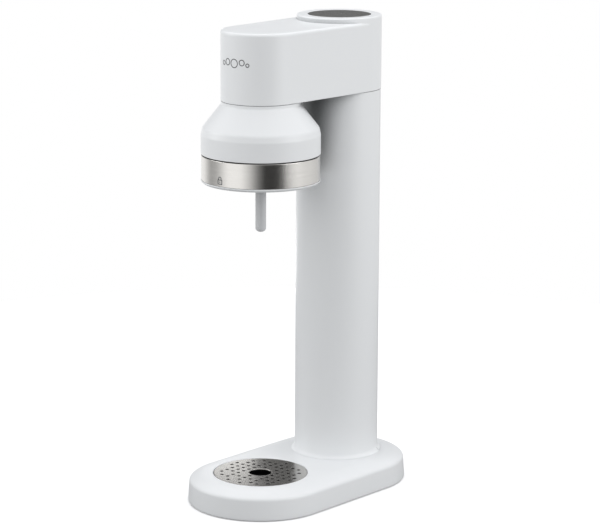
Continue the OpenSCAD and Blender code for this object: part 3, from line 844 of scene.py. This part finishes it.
class Grow:
    """A Geometry Nodes tree with named inputs."""

    def __init__(self, name, **sockets):
        self.tree = bpy.data.node_groups.new(name, "GeometryNodeTree")
        face = self.tree.interface
        face.new_socket("Geometry", in_out="OUTPUT", socket_type="NodeSocketGeometry")
        face.new_socket("Geometry", in_out="INPUT", socket_type="NodeSocketGeometry")
        self.keys = {}
        for label, kind in sockets.items():
            made = face.new_socket(label.replace("_", " "), in_out="INPUT",
                                   socket_type="NodeSocket" + kind)
            self.keys[label] = made.identifier
        self.start = self.tree.nodes.new("NodeGroupInput")
        self.end = self.tree.nodes.new("NodeGroupOutput")

    def input(self, label):
        return self.start.outputs[label.replace("_", " ")]

    def node(self, kind, settings=None, inputs=None, out=0):
        made = self.tree.nodes.new(kind)
        for key, value in (settings or {}).items():
            setattr(made, key, value)
        for key, value in (inputs or {}).items():
            for part in value if isinstance(value, list) else [value]:
                if isinstance(part, bpy.types.NodeSocket):
                    self.tree.links.new(part, made.inputs[key])
                else:
                    made.inputs[key].default_value = part
        return made.outputs[out]

    def close(self, geometry, material):
        whole = self.node("GeometryNodeRealizeInstances", {}, {0: geometry})
        dressed = self.node("GeometryNodeSetMaterial", {}, {0: whole, "Material": material})
        self.tree.links.new(dressed, self.end.inputs[0])

    def make(self, name, mesh, **values):
        """Runs the tree on a mesh and returns the plain result."""
        holder = put(name + "_source", mesh)
        mod = holder.modifiers.new("grow", "NODES")
        mod.node_group = self.tree
        for label, value in values.items():
            mod[self.keys[label]] = value
        done = plain_mesh(holder)
        done.name = name
        return done


def perforating_tree():
    g = Grow("perforate", Spots="Object", Cutter="Object", Material="Material")
    spots = g.node("GeometryNodeObjectInfo", {}, {0: g.input("Spots")}, out=4)
    cutter = g.node("GeometryNodeObjectInfo", {}, {0: g.input("Cutter")}, out=4)
    cuts = g.node("GeometryNodeInstanceOnPoints", {}, {"Points": spots, "Instance": cutter})
    solid = g.node("GeometryNodeRealizeInstances", {}, {0: cuts})
    cut = g.node("GeometryNodeMeshBoolean", {"operation": "DIFFERENCE", "solver": "EXACT"},
                 {0: g.input("Geometry"), 1: solid})
    g.close(cut, g.input("Material"))
    return g


def scattering_tree():
    g = Grow("scatter", Part="Object", Turn="Float", Flip="Float", Seed="Int",
             Material="Material")
    part = g.node("GeometryNodeObjectInfo", {}, {0: g.input("Part")}, out=4)
    spin = g.node("FunctionNodeRandomValue", {"data_type": "FLOAT"},
                  {2: 0.0, 3: g.input("Turn"), 8: g.input("Seed")}, out=1)
    turn = g.node("ShaderNodeCombineXYZ", {}, {0: g.input("Flip"), 2: spin})
    parts = g.node("GeometryNodeInstanceOnPoints", {},
                   {"Points": g.input("Geometry"), "Instance": part, "Rotation": turn})
    g.close(parts, g.input("Material"))
    return g


def coil_tree():
    g = Grow("coil", Radius="Float", Height="Float", Turns="Float", Wire="Float",
             Material="Material")
    path = g.node("GeometryNodeCurveSpiral", {},
                  {"Resolution": 40, "Rotations": g.input("Turns"),
                   "Start Radius": g.input("Radius"), "End Radius": g.input("Radius"),
                   "Height": g.input("Height")})
    ring = g.node("GeometryNodeCurvePrimitiveCircle", {},
                  {"Resolution": 12, "Radius": g.input("Wire")})
    wire = g.node("GeometryNodeCurveToMesh", {}, {0: path, 1: ring, "Fill Caps": True})
    g.close(wire, g.input("Material"))
    return g


PERFORATE = perforating_tree()
SCATTER = scattering_tree()
COIL = coil_tree()


def spot_mesh(name, spots):
    mesh = bpy.data.meshes.new(name)
    mesh.from_pydata([[c * MM for c in p] for p in spots], [], [])
    return mesh


def perforated(mesh, spots, cutter, material):
    """Cuts one shape out of a mesh at every spot."""
    where = put("cut_spots", spot_mesh("cut_spots", spots))
    tool = put("cutter", cutter.mesh("cutter"))
    done = PERFORATE.make("cut", mesh, Spots=where, Cutter=tool, Material=material)
    for extra in (where, tool):
        bpy.data.objects.remove(extra)
    return done


# drip holes row by row from the front, as steps to either side of the middle line
HOLE_ROWS = [[1], [0, 2, 3], [0, 1, 2, 4], [0, 2, 3, 4], [2, 3, 4], [2, 3, 4, 5], [2, 3, 4, 5],
             [1, 2, 3, 4], [0, 1, 2, 4], [0, 1, 2, 3], [0]]


def grid():
    """A thin pressed sheet with its outer edge and the edge of its finger hole turned down."""
    under = GRID_TOP - 0.6
    section = soften([(FINGER_R, GRID_Z), (FINGER_R + 1, GRID_Z), (FINGER_R + 1, under),
                      (GRID_R - 1, under), (GRID_R - 1, GRID_Z), (GRID_R, GRID_Z),
                      (GRID_R, GRID_TOP, 0.5), (FINGER_R, GRID_TOP, 0.5)], 5)
    plate = lathe(section, BELL_Y, 144).mesh("plate")
    spots = []
    for row, steps in enumerate(HOLE_ROWS):
        for step in steps:
            for sign in ((1,) if step == 0 else (-1, 1)):
                spots.append((sign * step * HOLE_PITCH, BELL_Y + (row - 5) * HOLE_PITCH, 0))
    cutter = lathe([(0, GRID_Z - 1), (HOLE_R, GRID_Z - 1), (HOLE_R, GRID_TOP - 0.06),
                    (HOLE_R + 0.08, GRID_TOP + 0.02), (HOLE_R + 0.08, GRID_TOP + 1),
                    (0, GRID_TOP + 1)], 0.0, 28)
    mesh = perforated(plate, spots, cutter, STEEL_DISC)
    piece = settle("grid_plate", mesh, STEEL_DISC, "grid", "drip_grid", 12)
    # the upright faces between the two turned-down edges are the walls of the drip holes; they get
    # the near-black steel that paints the shade inside the holes
    mesh.materials.append(HOLE_SHADE_STEEL)
    for face in mesh.polygons:
        out = math.hypot(face.center.x, face.center.y - BELL_Y * MM) / MM
        if abs(face.normal.z) < 0.5 and FINGER_R + 1.5 < out < GRID_R - 1.5:
            face.material_index = 1
    return piece


def screw_mesh(head_r, head_h, shank_r, length):
    """A pan-head screw standing on its head, with a cross recess and a shallow thread."""
    section = [(0, 0.12), (head_r * 0.45, 0.03), (head_r * 0.8, 0.12), (head_r * 0.96, 0.34),
               (head_r, 0.6), (head_r, head_h), (shank_r, head_h)]
    turns = max(3, int(length / 0.9))
    step = (length - 0.8) / turns
    for i in range(turns):
        z = head_h + 0.1 + step * i
        section += [(shank_r - 0.22, z), (shank_r, z + step * 0.5)]
    section += [(shank_r - 0.3, head_h + length - 0.3), (0, head_h + length)]
    screw = lathe(section, 0.0, 24).mesh("screw")
    arm = head_r * 0.55
    cross = Shape()
    outline = [(arm, 0.3), (0.3, 0.3), (0.3, arm), (-0.3, arm), (-0.3, 0.3), (-arm, 0.3),
               (-arm, -0.3), (-0.3, -0.3), (-0.3, -arm), (0.3, -arm), (0.3, -0.3), (arm, -0.3)]
    cross.block(outline, -0.5, [(x * 0.75, y * 0.75) for x, y in outline], head_h * 0.6)
    return perforated(screw, [(0, 0, 0)], cross, SCREW)


def screw_set(node, spots, sizes, seed, flip=False):
    master = put("screw_master", screw_mesh(*sizes))
    mesh = SCATTER.make(node + "_set", spot_mesh(node, spots), Part=master, Turn=FULL,
                        Flip=math.pi if flip else 0.0, Seed=seed, Material=SCREW)
    bpy.data.objects.remove(master)
    return settle(node + "_set", mesh, SCREW, "stand", node)


def around(centre_y, radius, first, count, z):
    return circle(radius, z, centre_y, count, math.radians(first))


def screws():
    edge = [(54, -40), (-54, -40), (54, 35), (-54, 35), (0, -105.5), (0, 106)]
    screw_set("base_screws", [(x, y, 1.7) for x, y in edge], (3, 1.2, 1.45, 9), 3)
    screw_set("frame_foot_screws", around(COLUMN_Y, 39, 45, 4, 1.7), (3, 1.2, 1.45, 4), 5)
    screw_set("head_screws", [(22, 0, HEAD_Z + 0.1), (-22, 0, HEAD_Z + 0.1)],
              (2.8, 1.1, 1.4, 15), 7)
    screw_set("bell_screws", around(BELL_Y, 25, 30, 3, HEAD_Z + 4.1), (2.8, 1.5, 1.4, 4.6), 9,
              True)
    screw_set("mechanism_screws", around(BELL_Y, 26.5, 90, 3, 323.6), (2.6, 1.5, 1.4, 14), 11)
    screw_set("valve_block_screws", around(COLUMN_Y, 26, 45, 4, 372.2), (3, 2.1, 1.5, 11), 13,
              True)
    screw_set("button_sleeve_screws", around(COLUMN_Y, 33, 30, 3, 422.4), (1.9, 1.5, 1, 4.2), 15)


def feet():
    section = soften([(0, 0), (7, 0, 0.7), (7, 2, 0.3), (0, 2)], 4)
    section[1:1] = [(4.2, 0.0), (4.4, 0.25), (4.9, 0.25), (5.1, 0.0)]  # a groove in the sole
    master = put("foot_master", lathe(section, 0.0, 48).mesh("foot_master"))
    spots = [(36, -88, 0), (-36, -88, 0), (36, 88, 0), (-36, 88, 0)]
    mesh = SCATTER.make("foot_pads", spot_mesh("foot_spots", spots), Part=master, Turn=0.0,
                        Flip=0.0, Seed=1, Material=RUBBER)
    bpy.data.objects.remove(master)
    return settle("foot_pads", mesh, RUBBER, "stand", "rubber_feet")


def spring(node, y, x, z0, z1, radius, wire, turns):
    mesh = COIL.make(node + "_wire", spot_mesh(node, [(0, 0, 0)]), Radius=radius * MM,
                     Height=(z1 - z0 - 2 * wire) * MM, Turns=float(turns), Wire=wire * MM,
                     Material=WIRE)
    mesh.transform(Matrix.Translation((x * MM, y * MM, (z0 + wire) * MM)))
    piece = settle(node + "_wire", mesh, WIRE, "stand", node, 80)
    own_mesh(piece)
    return piece


# ---------- hose, seals and gas bottle ----------


def tube(path, outer, inner):
    """A closed tube along a path in the middle plane, with square ends."""
    count = 20
    shape = Shape()
    side = Vector((1, 0, 0))
    places = [Vector(p) for p in path]
    walls = []
    for radius in (outer, inner):
        rings = []
        for i, p in enumerate(places):
            way = (places[min(i + 1, len(path) - 1)] - places[max(i - 1, 0)]).normalized()
            up = way.cross(side).normalized()
            turns = [FULL * k / count for k in range(count)]
            rings.append(shape.ring([p + (side * math.cos(a) + up * math.sin(a)) * radius
                                     for a in turns]))
        shape.skin(rings)
        walls.append(rings)
    for end in (0, -1):
        shape.join(walls[0][end], walls[1][end])
    return shape


def hose():
    path = [(0, BELL_Y, z) for z in (350.1, 353, 356, 360, 364, 368, 372)]
    for a in range(10, 91, 10):
        rise, ahead = on(0, 12, math.radians(a))
        path.append((0, BELL_Y + 12 - rise, 372 + ahead))
    path += [(0, y, 384) for y in (-34, -25, -15, -5, 5, 15, 25, 33, 38, 41.8)]
    shape = tube(path, 3.2, 2.08)
    return settle("hose_tube", shape, HOSE, "stand", "gas_hose")


def o_ring(node, y, z, radius, wire):
    section = [(radius + a, b) for a, b in (on(z, wire, FULL * k / 16) for k in range(16))]
    return settle(node + "_ring", lathe(section, y, 48), SEAL, "stand", node, 80)


def gas_bottle():
    z, r, w = BOTTLE_Z, BOTTLE_R, 3.2
    section = soften([(0, z + 2.2), (r - 14, z + 1.6), (r - 11, z, 2), (r - 8, z, 3),
                      (r - 2.2, z + 2.6, 5), (r, z + 9, 4), (r, 291, 12), (r - 1.4, 303, 20),
                      (r - 6.4, 318, 20), (16, 329, 6), (13.2, 333, 2), (13.2, 337, 0.4),
                      (10.4, 337), (10.4, 329), (14, 325), (r - 13.6, 321), (r - 9.2, 315),
                      (r - w - 2.8, 307), (r - w - 0.7, 299), (r - w, 291), (r - w, z + 9),
                      (r - 7, z + 5), (0, z + 5)], 6)
    shape = lathe(section, COLUMN_Y, 128)
    return settle("gas_bottle_body", shape, ALLOY, "gas", "gas_bottle")


# ---------- marks ----------


def curved_patch(outline, centre_z, radius):
    """A flat outline wrapped on the front of the head or the band as a thin raised mark."""
    shape = Shape()
    levels = []
    for r in (radius + 0.02, radius + MARK_LIFT):
        loops = []
        for loop in outline:
            loops.append(shape.ring([(*on(BELL_Y, r, u / radius - math.pi / 2), centre_z + v)
                                     for u, v in loop]))
        levels.append(loops)
        shape.plate(*loops, flat=outline)
    for one, two in zip(*levels):
        shape.join(one, two)
    return shape


def arch(radius, foot):
    """An arch's outline, anticlockwise from its right foot."""
    round_ = [on(2.2, radius, math.pi * k / 14) for k in range(15)]
    return [(radius, foot)] + round_ + [(-radius, foot)]


def padlock():
    body = [(-2.6, -3.0), (2.6, -3.0), (2.6, 1.3)] + arch(1.75, 1.3) + [(-2.6, 1.3)]
    inside = [(-1.9, -2.3), (1.9, -2.3), (1.9, 0.6), (-1.9, 0.6)]
    shape = curved_patch([body, inside, arch(1.05, 1.3)], PADLOCK_Z, BAND_R)
    keyhole = [on(-0.9, 0.5, FULL * k / 20) for k in range(20)]
    shape.add(curved_patch([keyhole], PADLOCK_Z, BAND_R))
    return settle("lock_sign", shape, PRINT, "lock_ring", "padlock_mark")


# angle from the front, height and radius of each bubble
BUBBLES = [(-21.5, 398.7, 2.2), (-11.5, 400, 3.1), (1.5, 399.3, 4), (14.5, 400.3, 2.8),
           (23.2, 398.3, 1.8)]


def bubbles():
    shape = Shape()
    for angle, z, r in BUBBLES:
        middle = math.radians(angle) * HEAD_R
        loops = [[p[:2] for p in circle(size, 0, 0, 48, x=middle)] for size in (r, r - 0.7)]
        shape.add(curved_patch(loops, z, HEAD_R))
    return settle("bubble_sign", shape, PRINT, "stand", "bubble_mark")


# ---------- build ----------


base_shell()
column_shell()
rear_cover()
head_shell()
bell()
band()
carrier()
nozzle()
button()
cup()
grid()
screws()
feet()
spring("button_spring", COLUMN_Y, 0, 394.05, 420.95, 9.4, 0.9, 6)
spring("relief_spring", BELL_Y, 19, 336.05, 342.95, 2.6, 0.4, 4)
hose()
o_ring("nozzle_o_ring", BELL_Y, 323, 5.78, 0.9)
o_ring("pin_seal", COLUMN_Y, 388.7, 3.15, 1.02)
gas_bottle()
padlock()
bubbles()

STAYS = [
    ("base_plate", PALE, "stand", 0.25), ("spine_frame", ZINC, "stand", 0.2),
    ("head_base_plate", WHITE, "stand", 0.2), ("nozzle_holder", PALE, "stand", 0.2),
    ("jaw_cage", PALE, "stand", 0.15), ("guard_plate", PALE, "stand", 0.2),
    ("bottle_seal", SEAL, "stand", 0.2), ("relief_valve_body", BRASS, "stand", 0.1),
    ("relief_cap", BRASS, "stand", 0.1), ("relief_poppet", SCREW, "poppet", 0.05),
    ("hose_ferrules", BRASS, "stand", 0.1), ("jaw_front", NYLON, "front_jaw", 0.2),
    ("jaw_right", NYLON, "right_jaw", 0.2), ("jaw_left", NYLON, "left_jaw", 0.2),
    ("valve_block", BRASS, "stand", 0.2), ("socket_seal", SEAL, "seal", 0.15),
    ("button_sleeve", PALE, "stand", 0.15), ("button_plunger", PALE, "button", 0.2),
    ("press_pin", SCREW, "button", 0.15), ("gas_bottle_valve", BRASS, "gas", 0.15),
    ("burst_plug", SCREW, "gas", 0.1), ("valve_pin", SCREW, "pin", 0.1),
]
for node, material, body, edge in STAYS:
    copy_of(node, material, body, edge)


# ---------- studio: places in metres ----------


EYE = Vector((1.43686, -1.62336, 0.69491))
AHEAD = Vector((-0.646296, 0.730836, -0.219502)).normalized()


def studio_floor():
    """A plain disc a hair under the feet."""
    mesh = bpy.data.meshes.new("studio_floor")
    bm = bmesh.new()
    bmesh.ops.create_circle(bm, cap_ends=True, segments=128, radius=FLOOR_R * MM)
    bm.to_mesh(mesh)
    bm.free()
    floor = put("studio_floor", mesh)
    mesh.materials.append(FLOOR)
    mesh.transform(Matrix.Translation((0, 0, -0.1 * MM)))


def lamp(name, place, aim, size, power):
    """A soft panel that lights the object and stays out of the picture."""
    data = bpy.data.lights.new(name, "AREA")
    data.shape = "RECTANGLE"
    data.size, data.size_y = size
    data.energy = power
    made = put(name, data)
    made.location = place
    made.visible_camera = False
    made.rotation_euler = (Vector(aim) - Vector(place)).to_track_quat("-Z", "Y").to_euler()


class Sky(Finish):
    """The studio round the object: bright cards and dark gaps between them."""

    def __init__(self, name):
        self.world = bpy.data.worlds.new(name)
        self.world.use_nodes = True
        self.tree = self.world.node_tree
        bpy.context.scene.world = self.world

    def window(self, value, low, high, soft):
        """1 between low and high, falling off over soft on both sides."""
        rise = self.node("ShaderNodeMapRange", {"interpolation_type": "SMOOTHSTEP"},
                         {0: value, 1: low - soft, 2: low, 3: 0.0, 4: 1.0})
        fall = self.node("ShaderNodeMapRange", {"interpolation_type": "SMOOTHSTEP"},
                         {0: value, 1: high, 2: high + soft, 3: 1.0, 4: 0.0})
        return rise * fall


# brightness of the studio's walls by direction, in degrees anticlockwise from the camera
CARDS = [(-180, 1.0), (-138, 1.05), (-112, 0.40), (-92, 0.50), (-66, 1.15), (-38, 1.15),
         (-22, 0.75), (-5, 0.22), (8, 0.015), (33, 0.015), (44, 0.11), (60, 0.6), (80, 0.9),
         (112, 0.85), (140, 0.7), (180, 1.0)]


def studio_world():
    sky = Sky("studio")
    way = sky.node("ShaderNodeTexCoord")
    facing = math.atan2(EYE.y, EYE.x)
    turned = sky.node("ShaderNodeVectorRotate", {"rotation_type": "Z_AXIS"},
                      {0: way, "Angle": -facing})
    parts = sky.node("ShaderNodeSeparateXYZ", {}, {0: turned})
    x, y, z = [Val(sky, parts.socket.node.outputs[i]) for i in range(3)]
    round_ = sky.node("ShaderNodeMath", {"operation": "ARCTAN2"}, {0: y, 1: x})
    turn = round_ / FULL + 0.5
    stops = [((at + 180) / 360, (level, level, level)) for at, level in CARDS]
    low_walls = sky.node("ShaderNodeValToRGB", {"stops": stops}, {0: turn})
    rise = sky.node("ShaderNodeMath", {"operation": "ARCSINE"}, {0: z}) * (180 / math.pi)
    walls = sky.blend(sky.span(rise, 0.0, 14.0), low_walls, (SIDE_LIGHT, SIDE_LIGHT, SIDE_LIGHT, 1))
    above = sky.span(rise, 22.0, 48.0)
    dome = sky.blend(above, walls, (TOP_LIGHT, TOP_LIGHT, TOP_LIGHT * 1.02, 1))
    # a dark gap high behind the object, which level steel reflects
    gap = sky.window(rise, 7.0, 24.0, 7.0) * sky.window(round_.size() * (180 / math.pi), 135.0,
                                                       190.0, 30.0)
    seen = sky.blend(gap * GAP_DEPTH, dome, (0.0, 0.0, 0.0, 1))
    path = sky.node("ShaderNodeLightPath")
    shown = sky.blend(path, seen, (1.0, 1.0, 1.0, 1))
    back = sky.tree.nodes["Background"]
    sky.tree.links.new(shown.socket, back.inputs["Color"])


def studio_camera():
    data = bpy.data.cameras.new("camera")
    data.sensor_width = 36.0
    data.lens = 148.3
    data.clip_end = 50.0
    camera = put("camera", data)
    up = Vector((-0.148962, 0.161286, 0.975601))
    side = AHEAD.cross(up).normalized()
    turn = Matrix((side, side.cross(AHEAD), -AHEAD)).transposed().to_4x4()
    camera.matrix_world = Matrix.Translation(EYE) @ turn
    bpy.context.scene.camera = camera


studio_floor()
studio_world()
lamp("overhead", (-0.3, 0.3, 1.6), (0, 0, 0.2), (1.6, 1.6), 2)
lamp("right", (1.7, 0.4, 0.6), (0, 0, 0.2), (1.2, 0.9), 8)
lamp("left", (-1.5, -1.2, 0.75), (0, 0, 0.2), (1.0, 0.9), 7)
lamp("behind_left", (-0.34, 0.22, 0.13), (-0.03, -0.08, 0.03), (0.12, 0.08), 0.045)
lamp("over_head", (0.0, 0.05, 0.8), (0, 0, 0.42), (0.3, 0.3), 0.25)
studio_camera()
bpy.context.scene.view_settings.view_transform = "Standard"
